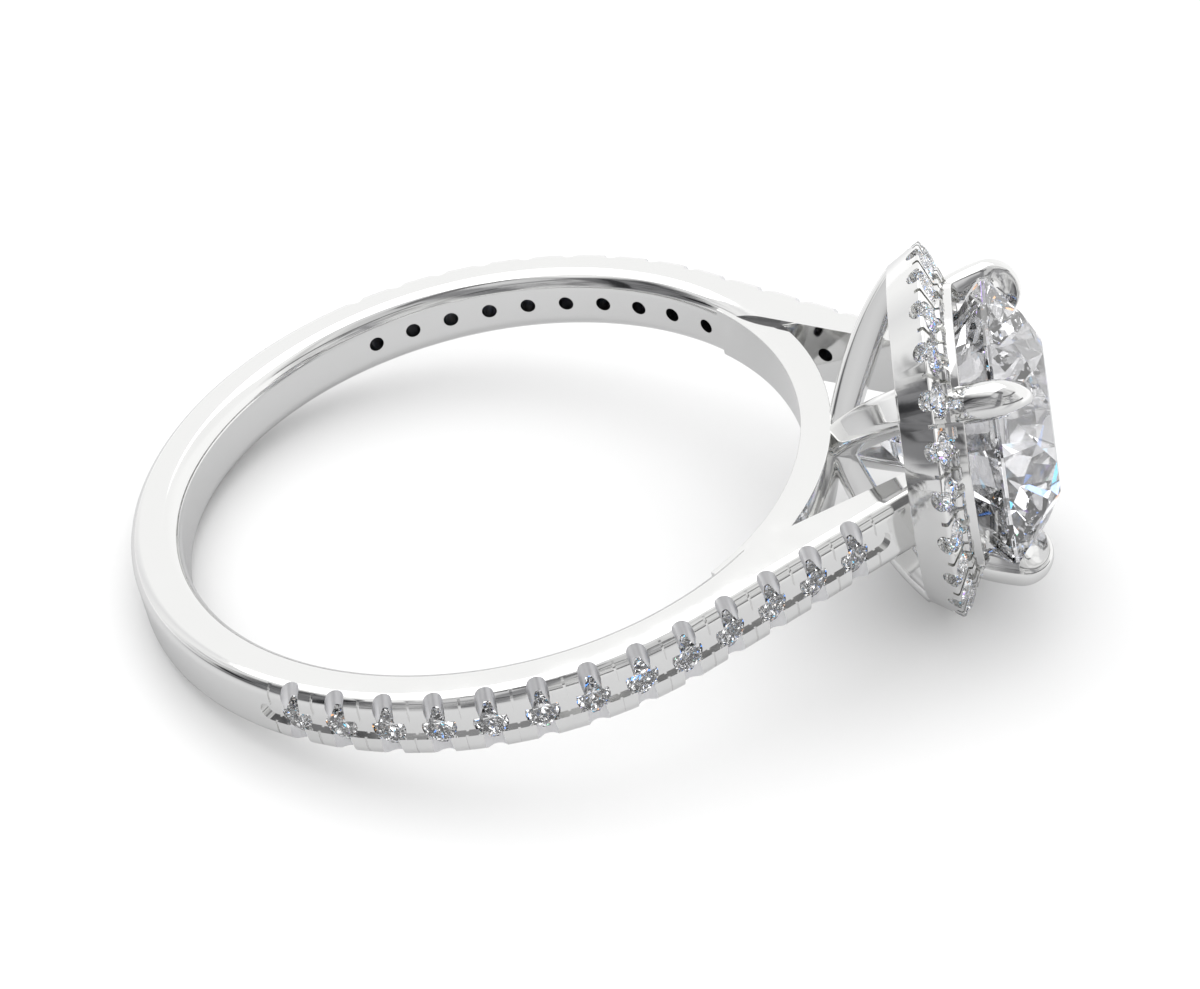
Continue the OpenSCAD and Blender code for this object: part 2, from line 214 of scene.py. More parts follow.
white_sheet, tree = blank_material("matt white sheet")
matt = {"Base Color": linear("#D0D0D0"), "Roughness": 0.9}
paper = add(tree, "ShaderNodeBsdfPrincipled", matt)
add(tree, "ShaderNodeOutputMaterial", {"Surface": paper.outputs[0]})
sheet("floor", 0, white_sheet, ("camera", "diffuse", "glossy", "transmission", "shadow"))
dome("backdrop", backdrop_r, lit("white backdrop", "#FFFFFF"), ("camera",))

# %% [markdown]
# ## The room that the metal mirrors
# Polished metal has hardly a look of its own: it shows the room. This dome is
# seen only by mirrors. Its walls are white behind and at the sides and grey in
# front, where the camera and people stand, and they differ below and above
# about 45 degrees. Soft dark wisps in front are what such people and stands
# look like in a bent mirror. Each wall is a ramp of greys by direction, which
# is easy to set from what the photograph's metal shows on each of its sides.

# %% Hang the walls of the mirrored room
room_r = 0.6
low_walls = [
    (-180, "#FAFAFA"), (-145, "#FAFAFA"), (-128, "#E6E6E7"), (-112, "#F2F2F2"),
    (-96, "#E6E6E7"), (-90, "#CACACA"), (-85, "#8E8E90"), (-79, "#6E6E70"), (-68, "#808082"),
    (-50, "#747476"), (-44, "#CACACB"), (-30, "#C4C4C5"), (-18, "#C0C0C1"), (-12, "#8C8C8E"),
    (0, "#949496"), (7, "#DCDCDC"), (28, "#E0E0E0"), (36, "#BCBCBE"), (46, "#C8C8C9"),
    (56, "#E2E2E2"), (70, "#E0E0E0"), (80, "#FFFFFF"), (150, "#FFFFFF"), (180, "#FAFAFA"),
]
high_walls = [
    (-180, "#F6F6F6"), (-120, "#F0F0F0"), (-62, "#F6F6F6"), (-50, "#B8B8B9"),
    (-40, "#CCCCCD"), (-28, "#D6D6D7"), (-20, "#CCCCCD"), (-14, "#8E8E90"), (2, "#848486"),
    (9, "#C4C4C5"), (45, "#CCCCCC"), (62, "#E6E6E6"), (76, "#CACACA"), (100, "#FAFAFA"),
    (180, "#F6F6F6"),
]
wisps_side = [(-112, "#000000"), (-92, "#FFFFFF"), (50, "#FFFFFF"), (76, "#000000")]


def azimuth_of(tree, spot):
    """The direction of a spot as a share of a turn; a half is the camera's side."""
    turn = {"Vector": spot, "Rotation": (0, 0, math.radians(90))}
    turned_spot = add(tree, "ShaderNodeMapping", turn).outputs[0]
    round_z = {"Vector": turned_spot}
    return add(tree, "ShaderNodeTexGradient", round_z, gradient_type="RADIAL").outputs["Fac"]


def all_round(marks):
    """Marks of (azimuth in degrees, colour) as the stops of a ramp."""
    return [(azimuth / 360 + 0.5, colour) for azimuth, colour in marks]


def room_height(elevation):
    """How high a spot of the room's dome lies at that elevation."""
    return room_r * math.sin(math.radians(elevation))


mirrored_room, tree = blank_material("room as the metal mirrors it")
spot = add(tree, "ShaderNodeTexCoord").outputs["Object"]
azimuth = azimuth_of(tree, spot)
height = add(tree, "ShaderNodeSeparateXYZ", {"Vector": spot}).outputs["Z"]
low, high, in_front = (
    add(tree, "ShaderNodeValToRGB", {"Fac": azimuth}, stops=all_round(marks)).outputs[0]
    for marks in (low_walls, high_walls, wisps_side)
)
upper, top = (
    add(
        tree,
        "ShaderNodeMapRange",
        {"Value": height, "From Min": room_height(start), "From Max": room_height(end)},
        interpolation_type="SMOOTHSTEP",
    ).outputs[0]
    for start, end in ((40, 50), (72, 82))
)
both_walls = {"Fac": upper, "Color1": low, "Color2": high}
room = add(tree, "ShaderNodeMixRGB", both_walls).outputs[0]
with_ceiling = {"Fac": top, "Color1": room, "Color2": linear("#DCDCDD")}
room = add(tree, "ShaderNodeMixRGB", with_ceiling).outputs[0]

# %% Add the wisps to the mirrored room
# stretched sideways: about 15 cm wide and 3 cm high on the dome
wide = add(tree, "ShaderNodeMapping", {"Vector": spot, "Scale": (7, 7, 34)}).outputs[0]
cloud = add(tree, "ShaderNodeTexNoise", {"Vector": wide, "Scale": 1.0, "Detail": 2.0})
wisp_range = {"Value": cloud.outputs["Fac"], "From Min": 0.46, "From Max": 0.66, "To Max": 0.85}
wisps = add(tree, "ShaderNodeMapRange", wisp_range).outputs[0]
below = add(tree, "ShaderNodeMath", {0: 1.0, 1: upper}, operation="SUBTRACT").outputs[0]
for share in (in_front, below):
    wisps = add(tree, "ShaderNodeMath", {0: wisps, 1: share}, operation="MULTIPLY").outputs[0]
wisped = {"Fac": wisps, "Color1": room, "Color2": linear("#4C4C4E")}
room = add(tree, "ShaderNodeMixRGB", wisped, blend_type="MULTIPLY").outputs[0]
glow = add(tree, "ShaderNodeEmission", {"Color": room, "Strength": 1.1})
add(tree, "ShaderNodeOutputMaterial", {"Surface": glow.outputs[0]})
dome("mirrored room", room_r, mirrored_room, ("glossy",))
print("walls:", len(low_walls), "greys low down and", len(high_walls), "high up")

# %% [markdown]
# ## The room that the diamonds show
# A cut diamond breaks the room into many small patches, and it spreads white
# light into colours. Cycles doesn't spread light, so this second dome, which
# only light that went through a stone sees, brings both: patches from black
# to white, a few of them blue, violet, orange, green and cyan. Ramp steps
# without blending keep each patch even, as a flat facet shows it.

# %% Make the sparkle room
sparkle_r = 0.62
sparkles = [
    (0.00, "#020204"), (0.30, "#3C3C3E"), (0.46, "#8C8C8E"), (0.58, "#D8D8D9"),
    (0.68, "#FFFFFF"), (0.86, "#5C9CFF"), (0.885, "#B080F0"), (0.905, "#FFB068"),
    (0.925, "#80E0B0"), (0.94, "#60D0FF"), (0.96, "#FFFFFF"),
]
sparkle_room, tree = blank_material("room as the diamonds show it")
spot = add(tree, "ShaderNodeTexCoord").outputs["Object"]
# about 10 cm a patch, on a dome 62 cm away
patches = add(tree, "ShaderNodeTexVoronoi", {"Vector": spot, "Scale": 9.4})
chance = add(tree, "ShaderNodeSeparateColor", {"Color": patches.outputs["Color"]})
shades = add(tree, "ShaderNodeValToRGB", {"Fac": chance.outputs["Red"]}, stops=sparkles)
shades.color_ramp.interpolation = "CONSTANT"
glow = add(tree, "ShaderNodeEmission", {"Color": shades.outputs[0], "Strength": 2.8})
add(tree, "ShaderNodeOutputMaterial", {"Surface": glow.outputs[0]})
dome("sparkle room", sparkle_r, sparkle_room, ("transmission",))

# %% [markdown]
# ## The glaze and the cards
# A bright floor would shine in every lower side of the metal, while in the
# photograph those sides are grey. So a clear grey glaze lies on the floor, seen
# only by mirrors and stones: near the ring it is light, and farther out it
# takes the greys of the low walls. Black and grey cards hang round the ring, as
# a photographer hangs them, to draw the dark lines along polished edges.

# %% Lay the glaze
glaze_h = 0.01 * MM
near_r, far_r = 14 * MM, 45 * MM
grey_glaze, tree = blank_material("grey glaze")
spot = add(tree, "ShaderNodeTexCoord").outputs["Object"]
by_azimuth = {"Fac": azimuth_of(tree, spot)}
walls = add(tree, "ShaderNodeValToRGB", by_azimuth, stops=all_round(low_walls)).outputs[0]
reach = add(tree, "ShaderNodeVectorMath", {0: spot}, operation="LENGTH").outputs["Value"]
reach_range = {"Value": reach, "From Min": near_r, "From Max": far_r}
far = add(tree, "ShaderNodeMapRange", reach_range, interpolation_type="SMOOTHSTEP").outputs[0]
near_to_far = {"Fac": far, "Color1": linear("#D6D6D7"), "Color2": walls}
fade = add(tree, "ShaderNodeMixRGB", near_to_far).outputs[0]
glaze = add(tree, "ShaderNodeBsdfTransparent", {"Color": fade})
add(tree, "ShaderNodeOutputMaterial", {"Surface": glaze.outputs[0]})
sheet("glaze", glaze_h, grey_glaze, ("glossy", "transmission"))

# %% Hang the cards
card_r, strip_r = 0.5, 0.48


def card(name, corners, material):
    """A flat card whose corners are given as azimuth and elevation."""
    points = [toward(a, e, card_r) for a, e in corners]
    return plain_mesh(name, points, [(0, 1, 2, 3)], material, ("glossy",))


def strip(name, start, end, low, high, material):
    """A level strip that bends round the ring between two azimuths and two elevations."""
    n = 12
    turns = [start + (end - start) * k / n for k in range(n + 1)]
    points = [toward(a, e, strip_r) for e in (low, high) for a in turns]
    faces = [(k, k + 1, k + n + 2, k + n + 1) for k in range(n)]
    return plain_mesh(name, points, faces, material, ("glossy",))


black = lit("black card", "#303032")
dark = lit("dark card", "#5C5C5E")
dark_grey = lit("dark grey card", "#787879")
grey = lit("grey card", "#9A9A9C")
cards = [
    card("slanting strip", [(-66, 40), (-60, 40), (-47, -2), (-54, -2)], black),
    card("left flag", [(-90, 8), (-79, 6), (-77, 13), (-88, 15)], black),
    card("front flag", [(-13, 23), (-4, 23), (-4, 30), (-13, 30)], dark),
    card("front strip", [(-45, 31), (-2, 33), (-2, 38), (-45, 37)], grey),
    card("high strip", [(-52, 60), (14, 60), (20, 71), (-60, 71)], dark_grey),
    card("right strip", [(37, 6), (40, 6), (40, 40), (37, 40)], grey),
    strip("upper edge line", 10, 85, 44, 50, dark_grey),
    strip("horizon line", 10, 85, -1, 8, dark_grey),
]
print("cards and strips:", len(cards))

# %% [markdown]
# ## How the metal is made
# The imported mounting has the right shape, but its mesh is cut into coarse
# facets, and a mirror finish shows every one of them. So the metal is built
# once more from the same sizes, as finely divided sweeps and turned shapes,
# and the seats are cut with Boolean tools, as a setter's burs cut them.
# Everything is drawn standing in the ring's own frame, in millimetres: X runs
# from the middle of the finger hole to the large stone, and Z is the axis of
# the finger hole. Only at the end is it laid on its side and scaled.

# %% The ring's main sizes in millimetres
finger_r = 8.25
band_w = 1.8
band_t = 1.35
outer_round = 0.38
comfort_round = 0.49
bridge_t = 0.8
basket_h = 1.91
halo_wall_h = 0.88
halo_r = 9.78 / 2
halo_back_r = 8.68 / 2
halo_slope = math.radians(22)
centre_d = 7.44
table_share = 0.53
girdle_rise = 2.35
table_rise = centre_d * 0.178

band_r = finger_r + band_t
bridge_r = finger_r + bridge_t
back_h = bridge_r + basket_h
edge_h = back_h + halo_wall_h
centre_r = centre_d / 2
girdle_h = back_h + girdle_rise

# how far a tool runs past what it cuts, and the air round a stone
over = 0.5
stone_gap = 0.02

# %% [markdown]
# ## How the ring lies
# Laid on a table, the ring leans: it touches with the edge of its halo and
# with the back of its band. The lean follows from those two sizes, and the
# ring's box is centred over the origin.

# %% Work out how the ring leans
side_reach = band_r - outer_round
side_drop = halo_r - band_w / 2 + outer_round
lean = math.atan2(side_drop, edge_h + side_reach) - math.asin(
    outer_round / math.hypot(side_drop, edge_h + side_reach)
)
back_x = side_reach * math.cos(lean) + (band_w / 2 - outer_round) * math.sin(lean) + outer_round
front_x = (girdle_h + table_rise) * math.cos(lean) + centre_r * table_share * math.sin(lean)
rest_z = halo_r * math.cos(lean) - edge_h * math.sin(lean)
lay_down = (
    Matrix.Scale(MM, 4)
    @ Matrix.Translation(((back_x - front_x) / 2, 0, rest_z))
    @ Matrix.Rotation(-lean, 4, "Y")
)
print("the ring leans by", round(math.degrees(lean), 3), "degrees")

# %% [markdown]
# ## Sweeps, turned shapes and burs
# A few small tools make every form. A sweep joins a row of outlines into one
# closed skin. A turned shape is an outline carried round an axis. A Boolean
# adds or cuts one closed shape and then drops it.

# %% Sweeps and turned shapes


def arc(x, y, r, start, end, steps):
    """Points of an arc in the plane, with its angles in degrees."""
    turns = [math.radians(start + (end - start) * k / steps) for k in range(steps + 1)]
    return [(x + r * math.cos(t), y + r * math.sin(t)) for t in turns]


def sweep(name, rings, closed=False):
    """A closed skin over a row of outlines with equal numbers of points."""
    n, rows = len(rings[0]), len(rings)
    skin = bmesh.new()
    grid = [[skin.verts.new(p) for p in ring] for ring in rings]
    for i in range(rows if closed else rows - 1):
        here, there = grid[i], grid[(i + 1) % rows]
        for k in range(n):
            m = (k + 1) % n
            skin.faces.new((here[k], there[k], there[m], here[m]))
    if not closed:
        skin.faces.new(grid[0])
        skin.faces.new(grid[-1][::-1])
    bmesh.ops.remove_doubles(skin, verts=skin.verts, dist=1e-6)
    bmesh.ops.recalc_face_normals(skin, faces=skin.faces)
    mesh = bpy.data.meshes.new(name)
    skin.to_mesh(mesh)
    skin.free()
    return new_object(name, mesh)


def turned(name, outline, steps=360, start=0, end=360, head=False):
    """An outline of (distance, height) points carried round Z, or round X for the head."""
    whole = end - start == 360
    rings = []
    for k in range(steps if whole else steps + 1):
        t = math.radians(start + (end - start) * k / steps)
        c, s = math.cos(t), math.sin(t)
        rings.append([(h, r * c, r * s) if head else (r * c, r * s, h) for r, h in outline])
    return sweep(name, rings, closed=whole)


def softened(outline, radii, steps=4):
    """A closed outline whose corners are rounded, each by its own radius."""
    points = []
    for k, (corner, r) in enumerate(zip(outline, radii)):
        here, before, after = (Vector(outline[j % len(outline)]) for j in (k, k - 1, k + 1))
        if r == 0:
            points.append(corner)
            continue
        a, b = (before - here).normalized(), (after - here).normalized()
        half = a.angle(b) / 2
        heart = here + (a + b).normalized() * r / math.sin(half)
        first = here + a * r / math.tan(half) - heart
        last = here + b * r / math.tan(half) - heart
        ways = [first.lerp(last, j / steps).normalized() for j in range(steps + 1)]
        points += [tuple(heart + way * r) for way in ways]
    return points


# %% Booleans and groups of burs


def joined(name, pieces):
    """Several closed shapes that don't touch, as one tool."""
    whole = bmesh.new()
    for piece in pieces:
        piece.data.transform(piece.matrix_basis)
        whole.from_mesh(piece.data)
        bpy.data.objects.remove(piece)
    mesh = bpy.data.meshes.new(name)
    whole.to_mesh(mesh)
    whole.free()
    return new_object(name, mesh)


def work_on(target, tool, operation="DIFFERENCE"):
    """Cuts tool from target, or adds it, and drops the tool."""
    work = target.modifiers.new("work", "BOOLEAN")
    work.operation = operation
    work.object = tool
    work.solver = "MANIFOLD"
    graph = bpy.context.evaluated_depsgraph_get()
    done = bpy.data.meshes.new_from_object(target.evaluated_get(graph))
    target.modifiers.clear()
    target.data = done
    print(f"{operation.lower():10s} {tool.name:14s} {len(done.polygons)} faces")
    bpy.data.objects.remove(tool)


def set_on(piece, place, x_way, z_way):
    """Puts a tool at a place, with its Z and X axes along two directions."""
    turn = Matrix((x_way, z_way.cross(x_way), z_way)).transposed()
    piece.matrix_basis = Matrix.Translation(place) @ turn.to_4x4()
    return piece


# %% [markdown]
# ## The band and the arms
# On the real ring the band and both arms are one slim bar. Its outer edges are
# rounded, and its arms leave the round part as straight tangents that get
# thinner towards the halo. Here one outline is swept along that whole path,
# with many steps across the rounded edges so that reflections run smoothly.

# %% Sizes and path of the arms
arm_inset = 0.56
arm_end_t = 0.86
arm_slope = 0.14
arm_into_halo = 0.88
arm_end_r = halo_back_r - arm_inset
arm_far = math.hypot(back_h, arm_end_r)
arm_length = math.sqrt(arm_far**2 - band_r**2)
arm_turn = math.atan2(arm_end_r, back_h) + math.acos(band_r / arm_far)
arm_start_t = arm_end_t + arm_slope * arm_length
across = Vector((0, 0, 1))


def on_path(side, p):
    """A place on the crest p mm past the tangent, the way out of it and the way along it."""
    turn = arm_turn + max(-p, 0) / band_r
    out = Vector((math.cos(turn), side * math.sin(turn), 0))
    along = Vector((math.sin(turn), -side * math.cos(turn), 0))
    return band_r * out + max(p, 0) * along, out, along


print("arms", round(arm_length, 3), "mm long, from", round(math.degrees(arm_turn), 2), "degrees")

# %% Sweep the band with its arms


def outer_side(skin, spread=0):
    """The outer side as (depth, height), skin mm inward and spread mm wider at its edges."""
    middle = band_w / 2 - outer_round
    unit = arc(0, 0, 1, 90, 180, 12)
    upper = [
        (outer_round + (outer_round - skin) * x, middle + (outer_round + spread) * y)
        for x, y in unit
    ]
    return upper + [(d, -h) for d, h in reversed(upper)]


def band_ring(side, p):
    """The band's outline at one place on its path."""
    crest, out, _ = on_path(side, p)
    inner = band_t + over if p < 0 else arm_start_t - arm_slope * p
    edge, flank = band_w / 2, outer_round + 0.02
    outline = [(inner, edge), (flank, edge)] + outer_side(0) + [(flank, -edge), (inner, -edge)]
    return [crest - out * d + across * h for d, h in outline]


arm_steps, turn_steps = 16, 96
arm_reach = arm_length + arm_into_halo
half_path = [arm_reach * (1 - k / arm_steps) for k in range(arm_steps)]
half_path += [band_r * (arm_turn - math.pi) * k / turn_steps for k in range(turn_steps + 1)]
rings = [band_ring(1, p) for p in half_path] + [band_ring(-1, p) for p in half_path[-2::-1]]
band = sweep("band", rings)

# %% Cut the finger opening
cutter_half = 3
comfort_x = finger_r + comfort_round
upper_round = arc(comfort_x, band_w / 2 - comfort_round, comfort_round, 90, 180, 12)
opening = [(0, cutter_half), (comfort_x, cutter_half)] + upper_round
opening += [(r, -h) for r, h in reversed(opening)]
work_on(band, turned("finger opening", opening))

# %% [markdown]
# ## The arms' seats
# Each arm has 13 seats. A bur bores the seat and a fine drill goes on through
# the metal. A round cut crosses both rails at each stone and slopes down to
# the side faces, a thin line crosses them between the stones, and a shallow
# bright channel links the seats. Every cut is a closed shape that is taken
# away, in the order a setter would work.

# %% The seat bur and the stones' places
side_count = 13
side_stone_d = 1.1
side_sink = 0.06
side_pitch = 1.29
last_stone_gap = 1.8
azure_d = 0.42
small_crown = 0.18
small_pavilion = 0.43


def stone_place(i):
    """How far along the arm stone i sits."""
    return arm_length - last_stone_gap - (side_count - i) * side_pitch


def seat_bur(d, top, hole_d, hole_l, closed=False):
    """A stone's bur with its drill; top is the table's height, closed keeps the metal over it."""
    belly = top - d * small_crown
    cone = d * small_pavilion * (1 - hole_d / d)
    r = d / 2 + stone_gap
    if closed:
        cap_h = top + stone_gap
        crown = [(0, cap_h), (table_share * r, cap_h), (r, belly + 0.01 * d + stone_gap)]
    else:
        crown = [(0, belly + over + d), (r, belly + over + d)]
    outline = crown + [(r, belly)]
    outline += [(hole_d / 2 + stone_gap, belly - cone), (hole_d / 2, belly - cone)]
    return turned("bur", outline + [(hole_d / 2, belly - hole_l), (0, belly - hole_l)], steps=64)


def rod(r, low, high):
    """A round bar along Z."""
    return turned("rod", [(0, low), (r, low), (r, high), (0, high)], steps=64)


# %% Bore the seats and make the round cuts
# the faces of the drilled holes later get a near-black painted shade
POLISHED, DRILLED_SHADE, BUR_CUT = 0, 1, 2
round_r, round_rise = 0.25, 0.09
scoop_r, scoop_turn = 0.26, math.radians(22)
scoop_start, scoop_depth, scoop_l = 0.45, 0.19, 1.5

burs, rounds, scoops = [], [], []
cut_lines = []
for side in (1, -1):
    for i in range(1, side_count + 1):
        crest, out, _ = on_path(side, stone_place(i))
        bur = seat_bur(side_stone_d, -side_sink, azure_d, 2 * band_t, closed=True)
        burs.append(set_on(bur, crest, across, out))
        heart = crest + out * round_rise
        rounds.append(set_on(rod(round_r, -band_w, band_w), heart, out, across))
        cut_lines.append((crest, out, azure_d / 2, DRILLED_SHADE))
        cut_lines.append((heart, across, round_r, BUR_CUT))
        for up in (1, -1):
            way = up * across * math.cos(scoop_turn) - out * math.sin(scoop_turn)
            x_way = out * math.cos(scoop_turn) + up * across * math.sin(scoop_turn)
            rise = scoop_r / math.cos(scoop_turn) - scoop_depth
            start = crest + up * across * scoop_start + out * rise
            scoops.append(set_on(rod(scoop_r, -0.2, scoop_l), start, x_way, way))
            cut_lines.append((start, way, scoop_r, BUR_CUT))
for name, group in {"arm seats": burs, "round cuts": rounds, "scoops": scoops}.items():
    work_on(band, joined(name, group))

# %% Cut the fine lines and the channels
line_half, line_depth, line_spread = 0.035, 0.05, 0.03
channel_half, channel_depth, channel_steps = 0.26, 0.12, 128
past_last = 0.62 * side_pitch

saddle = [(outer_round, band_w), (-band_w, band_w), (-band_w, -band_w), (outer_round, -band_w)]
saddle += outer_side(line_depth, line_spread)[::-1]
half, depth = channel_half, channel_depth
trough = [(over, half), (-depth, half), (-depth, -half), (over, -half)]
first, last = stone_place(1) - past_last, stone_place(side_count) + past_last
lines, channels, ends = [], [], []
for side in (1, -1):
    for i in range(side_count + 1):
        crest, out, along = on_path(side, stone_place(i + 0.5))
        rings = [
            [crest + along * s - out * d + across * h for d, h in saddle]
            for s in (-line_half, line_half)
        ]
        lines.append(sweep("line", rings))
    rings = []
    for k in range(channel_steps + 1):
        crest, out, _ = on_path(side, first + (last - first) * k / channel_steps)
        rings.append([crest + out * d + across * h for d, h in trough])
    channels.append(sweep("channel", rings))
    for p in (first, last):
        crest, out, _ = on_path(side, p)
        ends.append(set_on(rod(half, -depth, over), crest, across, out))
for name, group in {"fine lines": lines, "channels": channels, "channel ends": ends}.items():
    work_on(band, joined(name, group))

# %% [markdown]
# ## The halo's tray
# The halo is turned in one piece: a conical outer wall, a sloping face for the
# stones, small posts inside it, a groove, and the collar round the large
# stone. Polishing rounds its corners by a few hundredths of a millimetre,
# which is what catches the light.

# %% Turn the tray
collar_r = centre_r
collar_in_r = collar_r - 0.14
post_t = 0.27
post_in_r = collar_r + 0.16
post_out_r = post_in_r + post_t
foot_h = edge_h + (halo_r - post_out_r) * math.tan(halo_slope)
post_h = foot_h + 0.1
groove_h = back_h + 0.75
rim_h = edge_h + 0.7
lip_h = back_h + 0.12
lip_r = collar_in_r - 0.15

# each corner of the outline as (distance, height) and the radius of its rounding
tray_corners = [
    ((lip_r, back_h), 0.03),
    ((halo_back_r, back_h), 0.05),
    ((halo_r, edge_h), 0.05),
    ((post_out_r, foot_h), 0),
    ((post_out_r, post_h), 0.02),
    ((post_in_r, post_h + post_t * math.tan(halo_slope)), 0.02),
    ((post_in_r, groove_h), 0),
    ((collar_r, groove_h), 0),
    ((collar_r, rim_h), 0.04),
    ((collar_in_r, rim_h), 0.03),
    ((collar_in_r, lip_h), 0.03),
    ((lip_r, lip_h), 0.03),
]
tray_outline, tray_rounds = zip(*tray_corners)
tray = turned("tray", softened(tray_outline, tray_rounds), head=True)

# %% Cut the tray
halo_count = 24
halo_stone_d = 0.82
halo_row = 0.46
halo_proud = 0.08
notch_r, notch_sink = 0.27, 0.11
slot_half, slot_depth = 0.055, 0.17


def on_halo(turn):
    """A place in the halo's row, the way out of its face and the way down the face."""
    radial = Vector((0, -math.cos(turn), -math.sin(turn)))
    head = Vector((1, 0, 0))
    out = head * math.cos(halo_slope) + radial * math.sin(halo_slope)
    down = radial * math.cos(halo_slope) - head * math.sin(halo_slope)
    return head * edge_h + radial * halo_r - down * halo_row, out, down


# how far the cuts run up the face, just into the posts, and down it
run_up = (halo_r - halo_row * math.cos(halo_slope) - post_in_r) / math.cos(halo_slope) + 0.06
run_down = halo_row + over
slot_floor = [(-slot_half, -slot_depth), (slot_half, -slot_depth)]
slot_box = slot_floor + [(slot_half, over), (-slot_half, over)]
burs, notches, slots = [], [], []
for i in range(halo_count):
    place, out, down = on_halo(math.tau * i / halo_count)
    bur = seat_bur(halo_stone_d, halo_proud, 0.6 * azure_d, 0.6 * halo_stone_d)
    burs.append(set_on(bur, place, down, out))
    notch = rod(notch_r, -run_up, run_down)
    notches.append(set_on(notch, place - out * notch_sink, out, down))
    place, out, down = on_halo(math.tau * (i + 0.5) / halo_count)
    sideways = out.cross(down)
    rings = [
        [place + sideways * x + out * z + down * y for x, z in slot_box]
        for y in (-run_up, run_down)
    ]
    slots.append(sweep("slot", rings))
for name, group in {"halo notches": notches, "halo slots": slots, "halo seats": burs}.items():
    work_on(tray, joined(name, group))

# %% [markdown]
# ## The bridge and the basket
# A narrow bridge closes the finger circle under the stone, and four arched
# straps carry the halo on it. Each strap is a flat-sided bar, cut from an
# outline of two curves, that gets wider towards the halo.

# %% Turn the bridge
bridge_turn = 43.5
bridge_half = 0.75
bridge_in_r = finger_r + 0.002
low_edge = [(bridge_in_r, -bridge_half), (bridge_r, -bridge_half)]
flat = low_edge + [(r, -h) for r, h in reversed(low_edge)]
rounded = softened(flat, [0.03] * 4)
bridge = turned("bridge", rounded, steps=88, start=-bridge_turn, end=bridge_turn)

# %% Bend the straps
strap_foot_r = 0.72
strap_foot_w = 0.85
strap_gain = 0.2
strap_rounds = [0.13, 0.26, 0.26, 0.13]
strap_steps = 32


def bow(a, b, c, steps):
    """Points of a curve that starts at a, heads for b and ends at c."""
    a, b, c = Vector(a), Vector(b), Vector(c)
    shares = [k / steps for k in range(steps + 1)]
    return [a * (1 - t) ** 2 + b * 2 * t * (1 - t) + c * t * t for t in shares]


def partway(a, b, x, y):
    """The point that lies these shares of the way from a to b."""
    return (a[0] + x * (b[0] - a[0]), a[1] + y * (b[1] - a[1]))


# both lines start inside the bridge and run on into the tray, so that the solder joints close
top_h = back_h + 0.2
outer_foot, outer_top = (bridge_r - 0.08, strap_foot_r), (back_h, halo_back_r + 0.05)
outer_bend = partway(outer_foot, outer_top, 0.384, 0.652)
outer_line = [Vector((bridge_r - 0.4, 0.6 * strap_foot_r))]
outer_line += bow(outer_foot, outer_bend, outer_top, strap_steps)
outer_line += [Vector((top_h, outer_top[1] - 0.1))]
inner_foot, inner_top = (bridge_r + 0.42, 0.05), (back_h + 0.1, collar_in_r - 0.05)
inner_bend = partway(inner_foot, inner_top, 0.5, 0.55)
inner_line = [Vector((inner_foot[0], -strap_foot_r / 2))]
inner_line += bow(inner_foot, inner_bend, inner_top, strap_steps)
inner_line += [Vector((top_h, inner_top[1] + 0.1))]


def strap_half(point):
    """Half of a strap's width at a point of its outline."""
    return (strap_foot_w + strap_gain * max(point[0] - bridge_r, 0) / basket_h) / 2


def strap(turn):
    """One strap at that angle round the head."""
    c, s = math.cos(turn), math.sin(turn)
    rings = []
    for outer, inner in zip(outer_line, inner_line):
        near, far = strap_half(inner), strap_half(outer)
        thick = (outer - inner).length
        edge = [(0, -near), (thick, -far), (thick, far), (0, near)]
        ring = []
        for depth, half in softened(edge, strap_rounds, 8):
            h, r = inner.lerp(outer, depth / thick)
            ring.append((h, r * c - half * s, r * s + half * c))
        rings.append(ring)
    return sweep("strap", rings)


# %% [markdown]
# ## The claws
# Four claws grow out of the groove beside the collar and bend over the
# girdle. A claw is a bar with a rounded back and flat sides, and its tip is
# filed to a leaf. It is swept as a row of such outlines that turn with the
# bend and get narrower towards the tip.

# %% Plan a claw's rows
claw_w = 0.98
claw_dome = 0.42
claw_bend = 0.82
claw_lean, claw_turn = math.radians(14), math.radians(146)
shank_shares = [0.92, 0.98, 1, 1]
bend_shares = [1, 0.96, 0.9, 0.8, 0.68, 0.54, 0.42, 0.31, 0.2, 0.02]
shank_steps, bend_steps = 14, 36


def between(values, t):
    """The value at t along a row of values, by straight steps."""
    k = min(int(t), len(values) - 2)
    return values[k] + (values[k + 1] - values[k]) * (t - k)


# a row holds a point of the claw's back as (height, radius), its angle, width and depth
bend_heart = Vector((girdle_h + 0.15, centre_r - 0.26))
bend_start = bend_heart + claw_bend * Vector((-math.sin(claw_lean), math.cos(claw_lean)))
pull = bend_start - 0.78 * Vector((1, math.tan(claw_lean)))
foot = Vector((edge_h + 0.3, post_in_r - 0.04))
claw_rows = [(Vector((back_h + 0.06, post_in_r - 0.08)), 0, claw_w * 0.9, 0.5)]
for k in range(shank_steps):
    t = k / shank_steps
    point = foot * (1 - t) ** 2 + pull * 2 * t * (1 - t) + bend_start * t * t
    way = (pull - foot) * (1 - t) + (bend_start - pull) * t
    width = claw_w * between(shank_shares, 3 * t)
    claw_rows.append((point, math.atan2(way[1], way[0]), width, 0.6 + 0.9 * t * (1 - t)))
for k in range(bend_steps + 1):
    angle = claw_lean - claw_turn * k / bend_steps
    point = bend_heart + claw_bend * Vector((-math.sin(angle), math.cos(angle)))
    claw_rows.append((point, angle, claw_w * between(bend_shares, k / 4), claw_bend - 0.06))

# %% Sweep a claw


